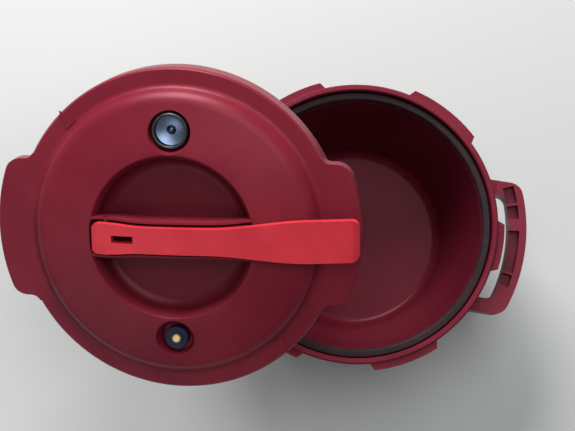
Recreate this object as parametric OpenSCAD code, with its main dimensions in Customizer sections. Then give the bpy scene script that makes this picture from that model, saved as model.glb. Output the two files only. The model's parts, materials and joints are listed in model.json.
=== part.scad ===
// Pressure cooker with a bayonet lid, a locking lever, a weighted regulator and a pressure
// indicator. Millimetres, +Z up. The origin is the centre of the pot's flat bottom, and +X
// runs through the right-hand handle. The lid is held open, tilted, above the left side.

/* [Pot] */
// Height of the rim above the bottom
pot_h = 118; // [110:1:130]
// Outer radius of the rim
rim_r = 117; // [116:0.5:117.5]
// Radius of the mouth inside the rim
mouth_r = 112; // [111.8:0.1:112.6]
// Inner radius of the ledge that carries the seal
ledge_r = 104; // [103.5:0.5:104.5]
// Outer radius of the foot, at the bottom of the wall
foot_r = 86; // [84:1:88]

/* [Bayonet] */
// Outer radius of the lugs round the rim
lug_r = 122.6; // [122:0.2:122.8]
// Angle that a lug spans, in degrees
lug_span = 33; // [28:1:34]
// Angle that the two lugs over the handles span, in degrees
handle_lug_span = 20.5; // [18:0.5:24]
// Angle that a hook of the lid spans, in degrees
hook_span = 20; // [16:1:21]

/* [Handles] */
// Radius of the handles' outer edge, and of the lid's two tabs
grip_r = 143; // [142:0.5:146]
// Width of the bar of a handle
bar_w = 14.5; // [13.5:0.5:15]
// Half the length of a handle
handle_half = 56; // [54:1:58]
// Thickness of a handle from top to bottom
handle_t = 20; // [19:1:22]

/* [Lid] */
// Outer radius of the lid's skirt
skirt_r = 127; // [126.6:0.2:128]
// Depth of the skirt below the rim
skirt_d = 14; // [13.8:0.1:14.2]
// Thickness of the lid's dome
dome_t = 3; // [2.5:0.1:3.4]
// Radius of the round recess in the middle of the lid
recess_r = 63; // [62:0.5:63.5]
// Half the width of a tab
tab_half = 55; // [52:1:58]

/* [Lever] */
// Width of the lever over its pin
lever_w = 24; // [22:0.5:25]
// Width of the lever at its waist
waist_w = 20.2; // [18:0.2:21]
// Width of the lever's free end
lever_end_w = 32.2; // [30:0.2:36]
// Thickness of the lever's free part
lever_t = 7; // [6:0.5:8]

/* [Hidden] */
$fn = 96;

maroon = [0.42, 0.10, 0.15];
lever_red = [0.82, 0.12, 0.15];
steel = [0.70, 0.71, 0.73];
black = [0.06, 0.06, 0.07];
navy = [0.10, 0.11, 0.18];
cream = [0.92, 0.82, 0.52];

play = 0.05;             // running clearance of a pin in its bore

// where the open lid is held: its lean, the direction it leans in and the turn of its lever
lid_place = [-138, -38, 198];
lean = 23;
lean_dir = 257;
lever_turn = 8;

// pot
wall_t = 5;
floor_t = 4;
foot_round = 10;
lug_top = pot_h - 3;
lug_bottom = pot_h - 9;
// how much later each lug starts and ends than an even spacing would have it, in degrees
lug_shifts = [[-1, 0], [0, 0.5], [8, 0], [-1, 0], [0, 0], [0, -3.5]];
ledge_z = pot_h - 12;
neck_r = 115.5;
inner_foot_r = foot_r - wall_t;
seal_h = 6;

// handle
handle_top = pot_h - skirt_d - 2.5;
handle_z = handle_top - handle_t;
bar_in_r = grip_r - bar_w;
arm_w = 12;
corner_r = 12;
seat_x = 112;            // where the arm butts against the pot's shelf
step_x = 102;            // inner end of the step under the shelf
shelf_z = handle_z + 11;
screw_x = 107.6;
screw_y = handle_half - arm_w / 2;
screw_r = 2.2;
groove_in = bar_in_r - 1;
groove_out = grip_r - 6.2;
groove_d = 6.5;
// first and last angle of each pocket
pockets = [[-13.6, -9.2], [-8.2, 6.8], [11.2, 16], [17, 23]];

// lid, in its own frame: Z 0 is the plane of the pot's rim, +X runs along the lever
flange_z = 0.4;
flange_top = 5.2;
flange_edge = 4.4;       // height of the flange over the skirt
flange_slope = 0.07;     // fall of the flange for each mm further out
skirt_in_r = skirt_r - 2.8;
dome_foot_r = 112;
dome_r = 400;            // radius of the dome's crown
shoulder_r = 14;         // radius of its shoulder
shoulder_x = 98;
shoulder_z = 3.5;
shoulder_a = 75;         // where the shoulder meets the crown
fillet_r = 5;            // radius between the shoulder and the flange
fillet_a = 20;           // where the shoulder meets that radius
fillet_x = shoulder_x + (shoulder_r + fillet_r) * cos(fillet_a);
fillet_z = shoulder_z + (shoulder_r + fillet_r) * sin(fillet_a);
crown_x = shoulder_x - (dome_r - shoulder_r) * cos(shoulder_a);
crown_z = shoulder_z - (dome_r - shoulder_r) * sin(shoulder_a);
recess_floor = 8;
recess_round = 10;
recess_cx = recess_r - 13;
recess_cz = recess_floor + recess_round;
plug_out = 110.2;
plug_in = 107;
plug_d = 5.5;
hook_in_r = 118.7;
hook_t = 3.8;
hook_z = -skirt_d + 0.4;
hook_offset = 3;
pointer_angles = [134, -48];
rim_gap = 2.2;           // gap between the lever and the walls beside it
bridge_wall = 1.6;
bridge_rise = 0.8;       // height of those walls above the crown
bridge_floor = 17;
hinge_x = -50;
hinge_z = 25.2;
knuckle_r = 4.5;
bridge_half = lever_w / 2 + rim_gap + bridge_wall;
pin_r = 2;
latch_x = 133;
latch_half = 8;
latch_t = 4;
latch_foot = -20.5;
latch_top = 18;
lever_gap = 1.2;         // height of the lever above the dome
lever_sunk = 3;          // depth of its underside below the crown, in the channel
lever_top_r = 555;       // radius of its top from end to end
lever_top_x = 9.5;
lever_top_z = -519.2;
lever_start = -61;
lever_end = 142;

// valves, in the lid's frame
regulator_y = 81;
regulator_cup = 15.2;
regulator_mouth = 16.7;
regulator_floor = 7;
regulator_boss = 3;
indicator_y = -82;
indicator_cup = 12;
indicator_mouth = 16.2;
indicator_floor = 10;
indicator_boss = 6;
well_slope = 14;         // height where a well starts to open out
ball_r = 3.2;
ball_z = 12.2;
tube_r = 3.2;
weight_r = 12.1;
weight_z = 8.6;
housing_lip_z = 18.8;
indicator_r = 3.1;

function arc(cx, cy, r, a0, a1, n) =
    [for (i = [0:n]) [cx + r * cos(a0 + (a1 - a0) * i / n), cy + r * sin(a0 + (a1 - a0) * i / n)]];
function ease(t) = t <= 0 ? 0 : t >= 1 ? 1 : t * t * (3 - 2 * t);
// height of the lever's top at x
function lever_top(x) = lever_top_z + sqrt(pow(lever_top_r, 2) - pow(x - lever_top_x, 2));
function flip_y(points) = [for (i = [len(points) - 1:-1:0]) [points[i][0], -points[i][1]]];

// a ring with a rectangular section, over part of a turn
module sector(r_in, r_out, z, h, from, span) {
    rotate([0, 0, from])
        rotate_extrude(angle = span, $fn = 180)
            translate([r_in, z])
                square([r_out - r_in, h]);
}

module ring(r_in, r_out, z, h) {
    translate([0, 0, z])
        difference() {
            cylinder(r = r_out, h = h, $fn = 180);
            translate([0, 0, -1]) cylinder(r = r_in, h = h + 2, $fn = 180);
        }
}

// ---------- pot ----------

module pot_outside() {
    rotate_extrude($fn = 180)
        polygon(concat([[0, 0], [foot_r - foot_round, 0]],
                       arc(foot_r - foot_round, foot_round, foot_round, -90, 0, 8),
                       [[ledge_r + 2.5, ledge_z - 12], [neck_r, ledge_z - 4], [neck_r, lug_bottom],
                        [rim_r, lug_bottom], [rim_r, pot_h - 1.2], [rim_r - 1.2, pot_h],
                        [0, pot_h]]));
}

module pot_inside() {
    rotate_extrude($fn = 180)
        polygon(concat([[0, floor_t]],
                       arc(inner_foot_r - foot_round, floor_t + foot_round, foot_round, -90, 0, 8),
                       [[ledge_r - 0.5, ledge_z - 3], [ledge_r, ledge_z], [mouth_r, ledge_z],
                        [mouth_r, pot_h - 1], [mouth_r + 1, pot_h], [mouth_r + 1, pot_h + 1],
                        [0, pot_h + 1]]));
}

module lugs() {
    for (i = [0:5]) {
        half = (i % 3 == 0 ? handle_lug_span : lug_span) / 2;
        from = i * 60 - half + lug_shifts[i][0];
        to = i * 60 + half + lug_shifts[i][1];
        intersection() {
            ring(rim_r - 2, lug_r, lug_bottom, lug_top - lug_bottom);
            // wedge with slanted ends
            translate([0, 0, lug_bottom - 1])
                linear_extrude(lug_top - lug_bottom + 2)
                    polygon([[0, 0], [110 * cos(from - 2), 110 * sin(from - 2)],
                             [140 * cos(from + 6), 140 * sin(from + 6)],
                             [140 * cos(to - 6), 140 * sin(to - 6)],
                             [110 * cos(to + 2), 110 * sin(to + 2)]]);
        }
    }
}

// shelf on the pot's wall that one arm of a handle hangs under
module handle_shelf(side) {
    translate([80, side * screw_y - arm_w / 2, shelf_z])
        cube([seat_x - 80, arm_w, handle_top - shelf_z]);
}

module pot_bowl() {
    color(maroon)
        difference() {
            union() {
                pot_outside();
                lugs();
                for (turn = [0, 180], side = [-1, 1])
                    rotate([0, 0, turn]) handle_shelf(side);
            }
            pot_inside();
            for (turn = [0, 180], side = [-1, 1])
                rotate([0, 0, turn])
                    translate([screw_x, side * screw_y, shelf_z - 1])
                        cylinder(r = screw_r, h = 9, $fn = 32);
        }
}

// ---------- handles ----------

module handle_outline() {
    corner_x = sqrt(pow(grip_r - corner_r, 2) - pow(handle_half - corner_r, 2));
    corner_a = atan2(handle_half - corner_r, corner_x);
    upper = concat([[step_x, handle_half]],
                   arc(corner_x, handle_half - corner_r, corner_r, 90, corner_a, 8),
                   arc(0, 0, grip_r, corner_a, 0, 12));
    polygon(concat(upper, flip_y(upper)));
}

module finger_gap_outline() {
    inner_half = handle_half - arm_w;
    round = 8;
    corner_x = sqrt(pow(bar_in_r - round, 2) - pow(inner_half - round, 2));
    corner_a = atan2(inner_half - round, corner_x);
    upper = concat([[step_x - 5, inner_half]],
                   arc(corner_x, inner_half - round, round, 90, corner_a, 8),
                   arc(0, 0, bar_in_r, corner_a, 0, 12));
    polygon(concat(upper, flip_y(upper)));
}

module handle() {
    difference() {
        translate([0, 0, handle_z])
            linear_extrude(handle_t)
                difference() {
                    handle_outline();
                    finger_gap_outline();
                }
        // the step that fits under the pot's shelf
        translate([0, -handle_half - 1, shelf_z])
            cube([seat_x, 2 * handle_half + 2, handle_t]);
        // pockets along the top of the bar, open towards the pot
        for (p = pockets)
            sector(groove_in, groove_out, handle_top - groove_d, groove_d + 1, p[0], p[1] - p[0]);
        for (side = [-1, 1])
            translate([screw_x, side * screw_y, handle_z]) {
                translate([0, 0, -1]) cylinder(r = screw_r + 0.2, h = 14, $fn = 32);
                translate([0, 0, -1]) cylinder(r = 4.3, h = 4, $fn = 32);
            }
    }
}

module handle_right() { color(maroon) handle(); }
module handle_left() { color(maroon) rotate([0, 0, 180]) handle(); }

module handle_screws() {
    for (side = [-1, 1])
        translate([screw_x, side * screw_y, handle_z + 0.4])
            difference() {
                union() {
                    cylinder(r = 4, h = 2.6, $fn = 32);
                    cylinder(r = screw_r - 0.02, h = 17, $fn = 32);
                }
                translate([-0.5, -2.5, -1]) cube([1, 5, 2]);
                translate([-2.5, -0.5, -1]) cube([5, 1, 2]);
            }
}

module handle_screws_right() { color(steel) handle_screws(); }
module handle_screws_left() { color(steel) rotate([0, 0, 180]) handle_screws(); }

// flexible seal lying on the ledge, with a lip that opens towards the pressure
module seal_ring() {
    z = ledge_z + play;
    color(black)
        rotate_extrude($fn = 180)
            polygon([[ledge_r + 0.6, z], [mouth_r - 0.4, z], [mouth_r - 0.4, z + seal_h - 1],
                     [mouth_r - 1.4, z + seal_h], [ledge_r + 2.2, z + seal_h],
                     [ledge_r + 0.6, z + seal_h - 1.6], [ledge_r + 0.6, z + 3.6],
                     [mouth_r - 4, z + 3.4], [mouth_r - 4, z + 2.2], [ledge_r + 0.6, z + 2]]);
}

// ---------- lid ----------

module on_lid() {
    translate(lid_place)
        rotate(a = lean, v = [-sin(lean_dir), cos(lean_dir), 0])
            rotate([0, 0, lever_turn])
                children();
}

// height of the crown, moved out by some distance, at x
function crown(x, out) = crown_z + sqrt(pow(dome_r + out, 2) - pow(x - crown_x, 2));
// angle on the crown at x
function crown_angle(x, out) = acos((x - crown_x) / (dome_r + out));
// section of the dome's skin from its foot up to radius r, moved out by some distance
function dome_skin(r, out, foot_a) =
    concat(arc(shoulder_x, shoulder_z, shoulder_r + out, foot_a, shoulder_a, 10),
           arc(crown_x, crown_z, dome_r + out, shoulder_a, crown_angle(r, out), 6));

module dome_solid(drop) {
    rotate_extrude($fn = 180)
        polygon(concat([[0, 0], [dome_foot_r - drop, 0]], dome_skin(0, -drop, 12)));
}

module lid_shell_turned() {
    rotate_extrude($fn = 180)
        polygon(concat(
            [[plug_out, flange_z], [skirt_in_r, flange_z], [skirt_in_r, -skirt_d],
             [skirt_r, -skirt_d], [skirt_r, flange_edge - 2.6], [skirt_r - 0.5, flange_edge - 1.2],
             [skirt_r - 1.6, flange_edge]],
            arc(fillet_x, fillet_z, fillet_r, 266, 180 + fillet_a, 6),
            dome_skin(recess_r + 2, 0, fillet_a),
            [[recess_r + 0.8, 24.7], [recess_r, 23.8]],
            arc(recess_cx, recess_cz, recess_round, 0, -90, 8),
            [[0, recess_floor], [0, recess_floor - dome_t]],
            arc(recess_cx, recess_cz, recess_round + dome_t, -90, 0, 8),
            [for (i = [0:7]) let (x = recess_r + 3 + (shoulder_x - recess_r - 3) * i / 8)
                [x, crown(x, -dome_t)]],
            arc(shoulder_x, shoulder_z, shoulder_r - dome_t, shoulder_a,
                acos((plug_in - shoulder_x) / (shoulder_r - dome_t)), 6),
            [[plug_in, -plug_d], [plug_out, -plug_d]]));
}

module tab_outline(inset) {
    half = tab_half - inset;
    outer = grip_r - inset;
    corner = 14 - inset;
    corner_x = sqrt(pow(outer - corner, 2) - pow(half - corner, 2));
    corner_a = atan2(half - corner, corner_x);
    // hollow round that runs from the side of the tab into the skirt
    hollow = 8 + inset;
    hollow_x = sqrt(pow(skirt_r - inset + hollow, 2) - pow(half + hollow, 2));
    hollow_a = atan2(half + hollow, hollow_x);
    upper = concat([[100, half + 4]],
                   arc(hollow_x, half + hollow, hollow, 180 + hollow_a, 270, 6),
                   arc(corner_x, half - corner, corner, 90, corner_a, 8),
                   arc(0, 0, outer, corner_a, 0, 12));
    polygon(concat(upper, flip_y(upper)));
}

module tab() {
    inner = skirt_r - 1.6;
    outer = grip_r - 2.5;
    outer_z = flange_edge - flange_slope * (outer - inner);
    difference() {
        intersection() {
            translate([0, 0, -8]) linear_extrude(20) tab_outline(0);
            rotate_extrude($fn = 180)
                polygon([[inner, -9], [grip_r + 1, -9], [grip_r + 1, outer_z - 3.2],
                         [grip_r - 0.2, outer_z - 1.4], [grip_r - 1, outer_z - 0.5],
                         [outer, outer_z], [inner, flange_edge]]);
        }
        translate([0, 0, -9]) linear_extrude(9 + flange_z) tab_outline(2.4);
    }
}

module hooks() {
    for (i = [0:5])
        sector(hook_in_r, skirt_in_r + 1, hook_z, hook_t, i * 60 + hook_offset - hook_span / 2, hook_span);
}

// half the lever's width at x
function lever_half(x) =
    lever_w / 2 + (waist_w - lever_w) / 2 * ease((x + 50) / 28)
    + (lever_end_w - waist_w) / 2 * ease((x - 30) / 76);

// plan of the lever, grown by some distance and cut off at x = last
module lever_plan(grow, last) {
    round = 6;
    start = lever_start - grow;
    upper = concat(arc(start + round, lever_half(lever_start) + grow - round, round, 180, 90, 6),
                   [for (x = [start + 12:8:last - 8]) [x, lever_half(x) + grow]],
                   arc(last - round, lever_half(last) + grow - round, round, 90, 0, 6));
    polygon(concat(upper, flip_y(upper)));
}

module channel() {
    translate([0, 0, bridge_floor])
        linear_extrude(30) lever_plan(rim_gap, recess_r + 20);
}

// walls along both sides of the lever, across the recess
module bridge() {
    intersection() {
        translate([0, 0, recess_floor - 1]) cylinder(r = recess_r + 1, h = 40, $fn = 180);
        dome_solid(-bridge_rise);
        translate([0, 0, recess_floor - 0.5])
            linear_extrude(40)
                lever_plan(rim_gap + bridge_wall, recess_r + 20);
    }
}

module valve_boss(y, r, foot) {
    intersection() {
        translate([0, y, foot]) cylinder(r = r, h = 40);
        dome_solid(0.6);
    }
}

// the dome outside the recess, where the lever lies on top and no channel is cut
module dome_only() {
    translate([recess_r - 1, -40, 0]) cube([60, 80, 40]);
}

// raised triangle on the flange, with its tip at the edge
module pointer() {
    translate([dome_foot_r + 2.5, 0, flange_top]) rotate([0, 4, 0])
        translate([0, 0, -1.5]) linear_extrude(2.2)
            polygon([[0, -5.5], [0, 5.5], [14.2, 0]]);
}

module valve_well(y, cup, mouth, well_floor) {
    translate([0, y, well_floor]) cylinder(r = cup, h = 30);
    // cone that reaches the mouth's radius 10 mm up, and runs on above the dome
    translate([0, y, well_slope]) cylinder(r1 = cup, r2 = cup + 1.5 * (mouth - cup), h = 15);
}

module lid_shell() {
    color(maroon)
        on_lid()
            difference() {
                union() {
                    lid_shell_turned();
                    tab();
                    rotate([0, 0, 180]) tab();
                    hooks();
                    bridge();
                    valve_boss(regulator_y, regulator_cup + 2.6, regulator_boss);
                    valve_boss(indicator_y, indicator_cup + 4, indicator_boss);
                    for (a = pointer_angles)
                        rotate([0, 0, a]) pointer();
                }
                difference() {
                    channel();
                    dome_only();
                }
                // room under the hinge for the lever's short end
                translate([-62, -lever_w / 2 - 1.6, 14]) cube([19, lever_w + 3.2, 20]);
                // hollow under the bridge
                translate([-38, -8, 0]) cube([80, 16, bridge_floor - dome_t]);
                valve_well(regulator_y, regulator_cup, regulator_mouth, regulator_floor);
                valve_well(indicator_y, indicator_cup, indicator_mouth, indicator_floor);
                translate([0, regulator_y, 0]) cylinder(r = tube_r + play, h = 20, $fn = 32);
                translate([0, indicator_y, 0]) cylinder(r = 6 + play, h = 20, $fn = 48);
                // bore for the lever's pin
                translate([hinge_x, -30, hinge_z]) rotate([-90, 0, 0])
                    cylinder(r = pin_r + 0.02, h = 60, $fn = 32);
                // slot for the latch
                translate([latch_x - 5, -latch_half - 2, -20])
                    cube([10, 2 * latch_half + 4, 40]);
            }
}

module lever_side() {
    low = lever_gap;
    sunk = -lever_sunk;
    rise = recess_r - 2;     // where the underside steps up on to the dome
    top_a = acos((lever_end - 4 - lever_top_x) / lever_top_r);
    start_a = acos((lever_start + 3 - lever_top_x) / lever_top_r);
    polygon(concat(
        arc(crown_x, crown_z, dome_r + sunk, crown_angle(lever_start + 6.5, sunk),
            crown_angle(rise - 6, sunk), 10),
        [[rise, crown(rise, low)], [rise + 6, crown(rise + 6, low)]],
        arc(lever_top_x, lever_top_z, lever_top_r - lever_t,
            acos((rise + 12 - lever_top_x) / (lever_top_r - lever_t)),
            acos((lever_end - 1.5 - lever_top_x) / (lever_top_r - lever_t)), 12),
        [[lever_end, lever_top(lever_end) - lever_t + 1.5],
         [lever_end, lever_top(lever_end) - 3], [lever_end - 1.2, lever_top(lever_end) - 1]],
        arc(lever_top_x, lever_top_z, lever_top_r, top_a, start_a, 20),
        [[lever_start + 0.8, lever_top(lever_start) - 1], [lever_start, lever_top(lever_start) - 3],
         [lever_start, crown(lever_start, 1.2)]]));
}

module lever() {
    color(lever_red)
        on_lid()
            difference() {
                union() {
                    intersection() {
                        translate([0, 0, -5]) linear_extrude(60) lever_plan(0, lever_end);
                        translate([0, 40, 0]) rotate([90, 0, 0]) linear_extrude(80) lever_side();
                    }
                    // knuckle round the pin
                    translate([hinge_x, -lever_w / 2 + 0.5, hinge_z]) rotate([-90, 0, 0])
                        cylinder(r = knuckle_r, h = lever_w - 1, $fn = 64);
                }
                // hanging hole near the pin
                translate([-44.5, -3, 0]) cube([17, 6, 60]);
                translate([hinge_x, -30, hinge_z]) rotate([-90, 0, 0])
                    cylinder(r = pin_r + play, h = 60, $fn = 32);
                // pocket that holds the latch
                translate([latch_x - latch_t / 2, -latch_half, 0])
                    cube([latch_t, 2 * latch_half, latch_top]);
            }
}

module lever_pin() {
    color(steel)
        on_lid()
            translate([hinge_x, -bridge_half + 0.5, hinge_z]) rotate([-90, 0, 0])
                cylinder(r = pin_r, h = 2 * bridge_half - 1, $fn = 32);
}

// plate under the lever's free end that drops into the handle's middle pocket
module lever_latch() {
    color(steel)
        on_lid()
            difference() {
                translate([latch_x - latch_t / 2, -latch_half, latch_foot])
                    cube([latch_t, 2 * latch_half, latch_top - latch_foot]);
                for (side = [-1, 1])
                    translate([latch_x, side * latch_half, latch_foot]) rotate([45 * side, 0, 0])
                        cube([latch_t + 2, 4, 4], center = true);
            }
}

// ---------- regulator ----------

module on_regulator() {
    on_lid() translate([0, regulator_y, 0]) children();
}

module regulator_tube() {
    color(steel)
        on_regulator()
            difference() {
                union() {
                    translate([0, 0, regulator_boss - 8]) cylinder(r = tube_r, h = 15.3, $fn = 48);
                    translate([0, 0, regulator_floor]) cylinder(r = 5.5, h = 1.5, $fn = 48);
                }
                translate([0, 0, regulator_boss - 9]) cylinder(r = 1.5, h = 20, $fn = 32);
                // seat for the ball
                translate([0, 0, ball_z]) sphere(r = ball_r + 0.3, $fn = 64);
            }
}

module regulator_gasket() {
    color(black) on_regulator() ring(tube_r + play, 8, regulator_boss - 1.5, 1.5);
}

module regulator_nut() {
    color(steel)
        on_regulator()
            difference() {
                translate([0, 0, regulator_boss - 5.5]) cylinder(r = 7.5, h = 4, $fn = 6);
                translate([0, 0, -10]) cylinder(r = tube_r + 0.02, h = 20, $fn = 48);
            }
}

module regulator_housing() {
    color(black)
        on_regulator() {
            rotate_extrude()
                polygon([[12.6, regulator_floor], [13.8, regulator_floor],
                         [13.8, housing_lip_z + 0.5], [13.2, housing_lip_z + 1.2],
                         [12, housing_lip_z + 1.2], [11.4, housing_lip_z + 0.6],
                         [11.4, housing_lip_z], [12.6, housing_lip_z]]);
        }
}

// dished weight that lifts on the tube to let steam out
module regulator_weight() {
    color([0.36, 0.42, 0.56])
        on_regulator()
            rotate_extrude()
                polygon(concat([[tube_r + 0.3, weight_z], [weight_r, weight_z],
                                [weight_r, weight_z + 6.4], [weight_r - 0.8, weight_z + 7.2]],
                               arc(0, weight_z + 25, 21, -59, -80, 8),
                               [[tube_r + 0.3, weight_z + 4.2]]));
}

module regulator_ball() {
    color(steel) on_regulator() translate([0, 0, ball_z]) sphere(r = ball_r, $fn = 64);
}

// cage that keeps food away from the tube's foot
module regulator_shield() {
    color(black)
        on_regulator()
            difference() {
                union() {
                    translate([0, 0, regulator_boss - 12]) cylinder(r = 12, h = 12);
                    translate([0, 0, regulator_boss - 1.5]) cylinder(r = 15.5, h = 1.5);
                }
                translate([0, 0, regulator_boss - 10.6]) cylinder(r = 10.8, h = 20);
                for (a = [0:30:150])
                    rotate([0, 0, a]) translate([-20, -1.1, regulator_boss - 9.5]) cube([40, 2.2, 6.5]);
            }
}

// ---------- indicator ----------

module on_indicator() {
    on_lid() translate([0, indicator_y, 0]) children();
}

module indicator_bush() {
    color(navy)
        on_indicator()
            difference() {
                union() {
                    translate([0, 0, indicator_floor]) cylinder(r = 9.3, h = 6);
                    translate([0, 0, indicator_floor + 6]) cylinder(r1 = 9.3, r2 = 8.6, h = 0.8);
                    translate([0, 0, 4]) cylinder(r = 6, h = 8, $fn = 48);
                    translate([0, 0, 3.6]) cylinder(r = 7.8, h = 2.35, $fn = 48);
                }
                translate([0, 0, 0]) cylinder(r = indicator_r + 0.35, h = 30, $fn = 48);
                translate([0, 0, indicator_floor + 4.8]) cylinder(r = 4.8, h = 10, $fn = 48);
            }
}

module indicator_collar() {
    color(black) on_indicator() ring(indicator_r + 0.35, 4.75, indicator_floor + 4.85, 2.6);
}

module indicator_pin() {
    color(cream)
        on_indicator()
            difference() {
                union() {
                    translate([0, 0, -4]) cylinder(r = indicator_r, h = 22, $fn = 48);
                    translate([0, 0, 18])
                        cylinder(r1 = indicator_r, r2 = indicator_r - 0.6, h = 0.6, $fn = 48);
                }
                ring(2.2, 6, -3, 1);
            }
}

module indicator_clip() {
    color(steel)
        on_indicator()
            difference() {
                ring(2.25, 5, -2.95, 0.9);
                translate([0, -1.6, -4]) cube([8, 3.2, 4]);
            }
}

pot_bowl();
handle_right();
handle_left();
handle_screws_right();
handle_screws_left();
seal_ring();
lid_shell();
lever();
lever_pin();
lever_latch();
regulator_tube();
regulator_gasket();
regulator_nut();
regulator_housing();
regulator_weight();
regulator_ball();
regulator_shield();
indicator_bush();
indicator_pin();
indicator_collar();
indicator_clip();
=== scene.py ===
"""Looks of the bayonet-lid pressure cooker: materials, rounded edges, light and camera."""
import json
import math
import bpy
from mathutils import Matrix, Vector


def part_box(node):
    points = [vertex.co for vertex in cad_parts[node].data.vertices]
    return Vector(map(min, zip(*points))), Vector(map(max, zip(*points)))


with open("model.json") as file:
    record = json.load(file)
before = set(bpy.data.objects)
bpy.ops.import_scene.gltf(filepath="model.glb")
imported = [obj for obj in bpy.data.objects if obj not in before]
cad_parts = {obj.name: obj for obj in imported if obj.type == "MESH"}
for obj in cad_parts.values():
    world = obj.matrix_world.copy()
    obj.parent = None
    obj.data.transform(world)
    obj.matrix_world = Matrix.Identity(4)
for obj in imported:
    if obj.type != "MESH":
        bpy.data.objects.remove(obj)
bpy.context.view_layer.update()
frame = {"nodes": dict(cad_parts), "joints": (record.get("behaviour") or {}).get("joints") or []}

MM = 0.001

# ---------------------------------------------------------------- frames


def joint(name):
    """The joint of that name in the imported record."""
    return next(j for j in frame["joints"] if j["name"] == name)


RIM_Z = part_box("pot_bowl")[1].z
HINGE_X, HINGE_Z = -50 * MM, 25.2 * MM      # the lever's pin, in the lid's own frame
REGULATOR_Y = 81 * MM                       # the regulator's axis, in the lid's own frame


def lid_frame():
    """Matrix from the lid's own frame to the row frame: origin at the rim plane, X along the lever."""
    up = Vector(joint("weight_lift")["axis"])
    side = -Vector(joint("lever_lift")["axis"])
    along = side.cross(up)
    turn = Matrix((along, side, up)).transposed().to_4x4()
    pin = Vector(joint("lever_lift")["pos_m"])
    return Matrix.Translation(pin) @ turn @ Matrix.Translation((-HINGE_X, 0, -HINGE_Z))


LID = lid_frame()
REGULATOR = LID @ Matrix.Translation((0, REGULATOR_Y, 0))
UPRIGHT = Matrix.Identity(4)

# ---------------------------------------------------------------- camera, light, floor

VIEW_AZIMUTH = math.radians(9.0)
VIEW_ELEVATION = math.radians(82.6)
VIEW_DISTANCE = 1.169
VIEW_WIDTH = 0.4772                          # width seen at the height of the rim
VIEW_CENTRE = Vector((-0.0582, -0.0033, RIM_Z))
SENSOR_WIDTH = 36                            # mm
LIGHT_AIM = Vector((-0.08, 0, 0.12))
LIGHTS = [                                   # name, place, width in metres, watts, colour
    ("key", (-0.55, 1.15, 0.95), 0.8, 35, (1, 0.985, 0.97)),
    ("top", (0.1, 0.35, 1.9), 1.6, 18, (1, 1, 1)),
    ("fill", (-0.8, -1.2, 0.9), 1.2, 4, (0.95, 0.97, 1)),
]
SKY_COLOUR, SKY_STRENGTH = (0.93, 0.95, 0.97, 1), 0.18
FLOOR_COLOUR, FLOOR_ROUGHNESS = (0.50, 0.51, 0.51, 1), 0.9
FLOOR_WIDTH, FLOOR_Z = 12, -0.0002           # just below the pot, so that they never share a face


def look_along(thing, direction):
    """Turns a camera or a light to face that way."""
    thing.rotation_mode = "QUATERNION"
    thing.rotation_quaternion = direction.to_track_quat("-Z", "Y")


def make_camera():
    a, e = VIEW_AZIMUTH, VIEW_ELEVATION
    back = Vector((math.sin(a) * math.cos(e), -math.cos(a) * math.cos(e), math.sin(e)))
    data = bpy.data.cameras.new("camera")
    data.sensor_width = SENSOR_WIDTH
    data.lens = data.sensor_width * VIEW_DISTANCE / VIEW_WIDTH
    data.clip_start, data.clip_end = 0.01, 20
    camera = bpy.data.objects.new("camera", data)
    camera.location = VIEW_CENTRE + back * VIEW_DISTANCE
    look_along(camera, -back)
    bpy.context.scene.collection.objects.link(camera)
    bpy.context.scene.camera = camera


def make_lights():
    for name, place, width, watts, colour in LIGHTS:
        data = bpy.data.lights.new(name, "AREA")
        data.shape = "DISK"
        data.size = width
        data.energy = watts
        data.color = colour
        light = bpy.data.objects.new(name, data)
        light.location = place
        look_along(light, LIGHT_AIM - Vector(place))
        bpy.context.scene.collection.objects.link(light)
    world = bpy.data.worlds.new("studio")
    world.use_nodes = True
    background = world.node_tree.nodes["Background"]
    background.inputs["Color"].default_value = SKY_COLOUR
    background.inputs["Strength"].default_value = SKY_STRENGTH
    bpy.context.scene.world = world
    bpy.context.scene.view_settings.view_transform = "Standard"


def make_floor():
    bpy.ops.mesh.primitive_plane_add(size=FLOOR_WIDTH, location=(0, 0, FLOOR_Z))
    floor = bpy.context.object
    floor.name = "floor"
    material, nodes, links, shader = new_material("studio_floor")
    shader.inputs["Base Color"].default_value = FLOOR_COLOUR
    shader.inputs["Roughness"].default_value = FLOOR_ROUGHNESS
    floor.data.materials.append(material)


# ---------------------------------------------------------------- materials

WHITE = (1, 1, 1)
WARM = (1.0, 0.42, 0.50)                     # highlights of the burgundy plastic
LID_TONES = ((0.136, 0.009, 0.020), (0.164, 0.012, 0.024), (0.192, 0.017, 0.029))
POT_TONES = ((0.110, 0.008, 0.019), (0.135, 0.011, 0.023), (0.16, 0.015, 0.028))
LEVER_TONES = ((0.50, 0.018, 0.032), (0.56, 0.024, 0.040), (0.61, 0.031, 0.047))
BLACK_TONES = ((0.012, 0.012, 0.015), (0.018, 0.018, 0.022), (0.03, 0.03, 0.036))
CREAM_TONES = ((0.78, 0.56, 0.20), (0.86, 0.66, 0.28), (0.9, 0.74, 0.36))
FLOW_STOPS = (0.30, 0.52, 0.75)              # where the dark, middle and light tones sit
GRAIN = 2600                                 # grains or turned rings per metre
# noises: features per metre, detail, roughness
RUBBED_NOISE, RIPPLE_NOISE, GRAIN_NOISE = (70, 5, 0.62), (45, 1, 0.4), (GRAIN, 3, 0.6)
SCRATCH_NOISE = (900, 6, 0.7)
BLOOM_NOISE, RUBBER_NOISE = (120, 6, 0.65), (3200, 2, 0.5)
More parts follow.
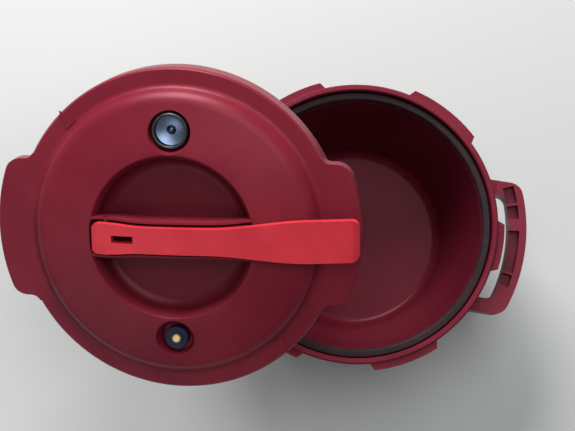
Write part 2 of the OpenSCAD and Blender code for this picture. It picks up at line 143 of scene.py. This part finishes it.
# bumps: depth in metres, strength
RIPPLE_BUMP, RING_BUMP, RUBBER_BUMP = (0.0004, 0.12), (0.00002, 0.35), (0.00002, 0.5)
GRAIN_STRENGTH = 0.6
FINE_GRAIN, COARSE_GRAIN = 0.00002, 0.00003  # depth of moulded grain
RING_WANDER = 0.6
COAT_ROUGHNESS = 0.12
SILICONE_ROUGH, SILICONE_SPECULAR = (0.5, 0.68), 0.2
SHADE_EASE = 0.0005                         # metres over which the painted shade eases out at a hollow's edge
# painted shade in hollows that catch little light: frame, radius, height where the shade is darkest,
# height where it ends, share of the colour left
LID_RECESS_SHADE = (LID, 0.063, 0.012, 0.024, 0.58)
# painted shade inside the pot's mouth, below the rim
POT_MOUTH_SHADE = (UPRIGHT, 0.1125, 0.109, 0.1165, 0.62)
# painted shade on the floors of the handles' pockets
HANDLE_POCKET_SHADE = (UPRIGHT, 0.1372, 0.0962, 0.1008, 0.6)
# rounded edges
WELD_GAP = 0.00001
ROUND_SEGMENTS, ROUND_ANGLE = 3, math.radians(28)
FLAT_FACE_WEIGHT = 80


def new_material(name):
    """A new material, with its nodes, its links and its shader."""
    material = bpy.data.materials.new(name)
    material.use_nodes = True
    nodes, links = material.node_tree.nodes, material.node_tree.links
    return material, nodes, links, nodes["Principled BSDF"]


def noise(nodes, links, coords, scale, detail, roughness):
    """A noise texture on object coordinates; scale is in features per metre."""
    node = nodes.new("ShaderNodeTexNoise")
    node.inputs["Scale"].default_value = scale
    node.inputs["Detail"].default_value = detail
    node.inputs["Roughness"].default_value = roughness
    links.new(coords, node.inputs["Vector"])
    return node.outputs["Fac"]


def ramp(nodes, links, value, stops):
    """A colour ramp from (position, colour) stops."""
    node = nodes.new("ShaderNodeValToRGB")
    stops = list(stops)
    while len(node.color_ramp.elements) < len(stops):
        node.color_ramp.elements.new(0.5)
    for element, (position, colour) in zip(node.color_ramp.elements, stops):
        element.position = position
        element.color = (*colour, 1)
    links.new(value, node.inputs["Fac"])
    return node.outputs["Color"]


def span(nodes, links, value, low, high):
    """Maps 0..1 on to low..high."""
    node = nodes.new("ShaderNodeMapRange")
    node.inputs["To Min"].default_value = low
    node.inputs["To Max"].default_value = high
    links.new(value, node.inputs["Value"])
    return node.outputs["Result"]


def bump(nodes, links, height, distance, strength, base=None):
    """A bump of that depth in metres, laid over the base bump where there is one."""
    node = nodes.new("ShaderNodeBump")
    node.inputs["Distance"].default_value = distance
    node.inputs["Strength"].default_value = strength
    links.new(height, node.inputs["Height"])
    if base is not None:
        links.new(base, node.inputs["Normal"])
    return node.outputs["Normal"]


def object_coords(nodes):
    return nodes.new("ShaderNodeTexCoord").outputs["Object"]


def coords_in(nodes, links, coords, axis_frame):
    """The coordinates as seen from another frame."""
    inverse = axis_frame.inverted()
    mapping = nodes.new("ShaderNodeMapping")
    mapping.inputs["Location"].default_value = inverse.to_translation()
    mapping.inputs["Rotation"].default_value = inverse.to_euler()
    links.new(coords, mapping.inputs["Vector"])
    return mapping.outputs["Vector"]


def paint_hollow_shade(nodes, links, coords, colour, axis_frame, radius, low, high, dark):
    """Paints shade into a colour: multiplies it by dark inside the radius and below low, easing out
    towards high.
    """
    parts = nodes.new("ShaderNodeSeparateXYZ")
    links.new(coords_in(nodes, links, coords, axis_frame), parts.inputs[0])
    flat = nodes.new("ShaderNodeCombineXYZ")
    links.new(parts.outputs["X"], flat.inputs["X"])
    links.new(parts.outputs["Y"], flat.inputs["Y"])
    reach = nodes.new("ShaderNodeVectorMath")
    reach.operation = "LENGTH"
    links.new(flat.outputs["Vector"], reach.inputs[0])
    tones = []
    for value, start, end in ((reach.outputs["Value"], radius - SHADE_EASE, radius),
                              (parts.outputs["Z"], low, high)):
        tone = nodes.new("ShaderNodeMapRange")
        tone.interpolation_type = "SMOOTHSTEP"
        tone.inputs["From Min"].default_value = start
        tone.inputs["From Max"].default_value = end
        tone.inputs["To Min"].default_value = dark
        links.new(value, tone.inputs["Value"])
        tones.append(tone.outputs["Result"])
    most = nodes.new("ShaderNodeMath")
    most.operation = "MAXIMUM"
    links.new(tones[0], most.inputs[0])
    links.new(tones[1], most.inputs[1])
    mix = nodes.new("ShaderNodeVectorMath")
    mix.operation = "SCALE"
    links.new(colour, mix.inputs[0])
    links.new(most.outputs["Value"], mix.inputs["Scale"])
    return mix.outputs["Vector"]


def moulded(name, tones, rough, grain_depth=COARSE_GRAIN, flow=14, specular=0.5, coat=0.0,
            sheen=WHITE, hollow_shade=None):
    """Injection-moulded plastic: spark-eroded grain, faint flow marks and rubbed patches.

    The tones are a dark, a middle and a light colour, and flow is the flow marks per metre. Where a
    hollow is given, shade is painted into its colour.
    """
    material, nodes, links, shader = new_material(name)
    coords = object_coords(nodes)
    flow_marks = noise(nodes, links, coords, flow, 3, 0.6)
    colour = ramp(nodes, links, flow_marks, zip(FLOW_STOPS, tones))
    # painted shade: the colour is darkened inside a hollow that catches little light
    if hollow_shade is not None:
        colour = paint_hollow_shade(nodes, links, coords, colour, *hollow_shade)
    links.new(colour, shader.inputs["Base Color"])
    rubbed = noise(nodes, links, coords, *RUBBED_NOISE)
    links.new(span(nodes, links, rubbed, *rough), shader.inputs["Roughness"])
    fine = noise(nodes, links, coords, *GRAIN_NOISE)
    ripple = noise(nodes, links, coords, *RIPPLE_NOISE)
    normal = bump(nodes, links, ripple, *RIPPLE_BUMP)
    normal = bump(nodes, links, fine, grain_depth, GRAIN_STRENGTH, normal)
    links.new(normal, shader.inputs["Normal"])
    shader.inputs["Specular IOR Level"].default_value = specular
    shader.inputs["Specular Tint"].default_value = (*sheen, 1)
    shader.inputs["Coat Weight"].default_value = coat
    shader.inputs["Coat Roughness"].default_value = COAT_ROUGHNESS
    return material


def turned_metal(name, colour, rough):
    """Metal turned on a lathe: rings round the regulator's axis, with fine random scratches."""
    material, nodes, links, shader = new_material(name)
    coords = object_coords(nodes)
    wave = nodes.new("ShaderNodeTexWave")
    wave.wave_type = "RINGS"
    wave.rings_direction = "Z"
    wave.inputs["Scale"].default_value = GRAIN
    wave.inputs["Distortion"].default_value = RING_WANDER
    links.new(coords_in(nodes, links, coords, REGULATOR), wave.inputs["Vector"])
    scratches = noise(nodes, links, coords, *SCRATCH_NOISE)
    tint = ramp(nodes, links, scratches,
                [(0.25, [c * 0.78 for c in colour]), (0.6, colour),
                 (0.8, [min(1, c * 1.12) for c in colour])])
    links.new(tint, shader.inputs["Base Color"])
    links.new(span(nodes, links, scratches, *rough), shader.inputs["Roughness"])
    normal = bump(nodes, links, wave.outputs["Fac"], *RING_BUMP)
    links.new(normal, shader.inputs["Normal"])
    shader.inputs["Metallic"].default_value = 1.0
    return material


def silicone(name, dark, light):
    """Soft matt rubber with a dusty bloom."""
    material, nodes, links, shader = new_material(name)
    coords = object_coords(nodes)
    bloom = noise(nodes, links, coords, *BLOOM_NOISE)
    links.new(ramp(nodes, links, bloom, [(0.35, dark), (0.7, light)]), shader.inputs["Base Color"])
    links.new(span(nodes, links, bloom, *SILICONE_ROUGH), shader.inputs["Roughness"])
    fine = noise(nodes, links, coords, *RUBBER_NOISE)
    links.new(bump(nodes, links, fine, *RUBBER_BUMP), shader.inputs["Normal"])
    shader.inputs["Specular IOR Level"].default_value = SILICONE_SPECULAR
    return material


def paint(node, material):
    """Gives a carried-over node one material in every slot."""
    mesh = frame["nodes"][node].data
    mesh.materials.clear()
    mesh.materials.append(material)
    for polygon in mesh.polygons:
        polygon.material_index = 0


def soften(node, width):
    """Rounds the sharp edges of a carried-over node, as moulding or deburring leaves them."""
    piece = frame["nodes"][node]
    weld = piece.modifiers.new("weld", "WELD")
    weld.merge_threshold = WELD_GAP
    round_over = piece.modifiers.new("round", "BEVEL")
    round_over.width = width
    round_over.segments = ROUND_SEGMENTS
    round_over.limit_method = "ANGLE"
    round_over.angle_limit = ROUND_ANGLE
    weighted = piece.modifiers.new("shade", "WEIGHTED_NORMAL")
    weighted.weight = FLAT_FACE_WEIGHT


def make_materials():
    return {
        # the lid's recess, the pot's mouth and the handles' pockets get painted shade
        "lid": moulded("lid_plastic", LID_TONES, (0.34, 0.44), specular=0.34, sheen=WARM,
                       hollow_shade=LID_RECESS_SHADE),
        "pot": moulded("pot_plastic", POT_TONES, (0.24, 0.36), grain_depth=FINE_GRAIN, specular=0.14,
                       sheen=WARM, hollow_shade=POT_MOUTH_SHADE),
        "handle": moulded("handle_plastic", POT_TONES, (0.3, 0.42), grain_depth=FINE_GRAIN,
                          specular=0.25, sheen=WARM, hollow_shade=HANDLE_POCKET_SHADE),
        "lever": moulded("lever_plastic", LEVER_TONES, (0.42, 0.52), flow=30, specular=0.35),
        "steel": turned_metal("turned_steel", (0.62, 0.63, 0.65), (0.18, 0.32)),
        "dark_steel": turned_metal("dark_steel", (0.10, 0.12, 0.16), (0.3, 0.4)),
        "weight": turned_metal("slate_blue_metal", (0.23, 0.30, 0.45), (0.34, 0.48)),
        "black": moulded("valve_plastic", BLACK_TONES, (0.3, 0.45), flow=200),
        "seal": silicone("seal_silicone", (0.012, 0.004, 0.006), (0.026, 0.010, 0.013)),
        "bush": silicone("bush_silicone", (0.012, 0.015, 0.04), (0.025, 0.03, 0.065)),
        "pin": moulded("pin_plastic", CREAM_TONES, (0.2, 0.32), flow=300, coat=0.3),
    }


MATERIAL_OF = {
    "pot_bowl": "pot", "handle_right": "handle", "handle_left": "handle",
    "handle_screws_right": "steel", "handle_screws_left": "steel", "seal_ring": "seal",
    "lid_shell": "lid", "lever": "lever", "lever_pin": "dark_steel", "lever_latch": "steel",
    "regulator_tube": "steel", "regulator_gasket": "seal", "regulator_nut": "steel",
    "regulator_housing": "black", "regulator_weight": "weight", "regulator_ball": "dark_steel",
    "regulator_shield": "black", "indicator_bush": "bush", "indicator_pin": "pin",
    "indicator_collar": "black", "indicator_clip": "steel",
}
# radius of each piece's rounded edges, in mm
EDGE_ROUND = {
    "pot_bowl": 0.9, "handle_right": 1.2, "handle_left": 1.2, "seal_ring": 0.4, "lid_shell": 0.7,
    "lever": 1.1, "lever_latch": 0.3, "regulator_housing": 0.25, "regulator_weight": 0.25,
    "regulator_shield": 0.25, "indicator_bush": 0.3, "indicator_collar": 0.2, "indicator_pin": 0.2,
    "regulator_nut": 0.3, "handle_screws_right": 0.2, "handle_screws_left": 0.2, "lever_pin": 0.2,
}

# ---------------------------------------------------------------- build

make_camera()
make_lights()
make_floor()
materials = make_materials()
for node, key in MATERIAL_OF.items():
    paint(node, materials[key])
for node, width in EDGE_ROUND.items():
    soften(node, width * MM)
